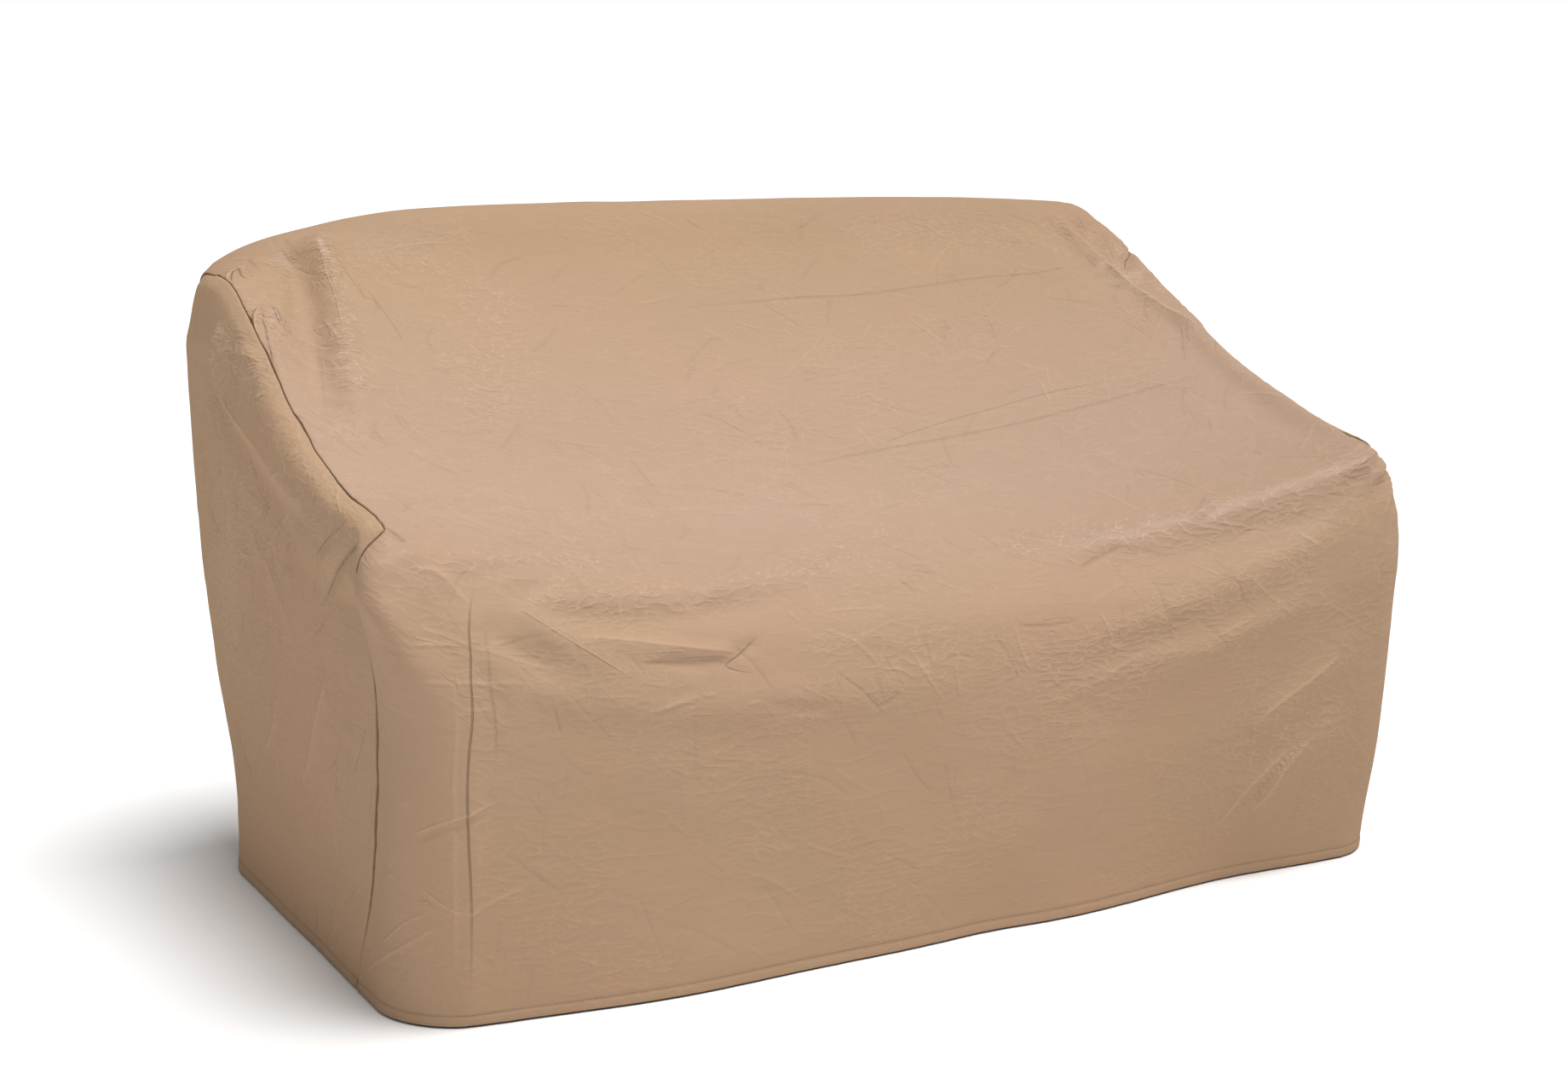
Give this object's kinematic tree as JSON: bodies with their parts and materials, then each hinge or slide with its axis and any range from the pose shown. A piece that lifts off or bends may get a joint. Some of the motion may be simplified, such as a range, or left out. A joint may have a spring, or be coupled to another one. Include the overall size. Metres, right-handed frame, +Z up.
{
  "type": "patio glider cover",
  "caption": "Hollow fitted cover of tan coated vinyl sheet, draped over a seat with a sloping back, with sewn side panels and a stitched hem.",
  "frame": {"origin": "middle of the cover in plan, at the height of its hem", "axes": "+X across, to the right seen from the front; the front faces -Y; +Z up"},
  "size_m": [1.438, 0.8624, 0.8674],
  "materials": {
    "vinyl_sheet": "semi-gloss embossed vinyl",
    "thread": "matt sewing thread"
  },
  "bodies": {
    "root": {"main_panel": "vinyl_sheet", "left_side_panel": "vinyl_sheet", "right_side_panel": "vinyl_sheet"}
  },
  "joints": []
}
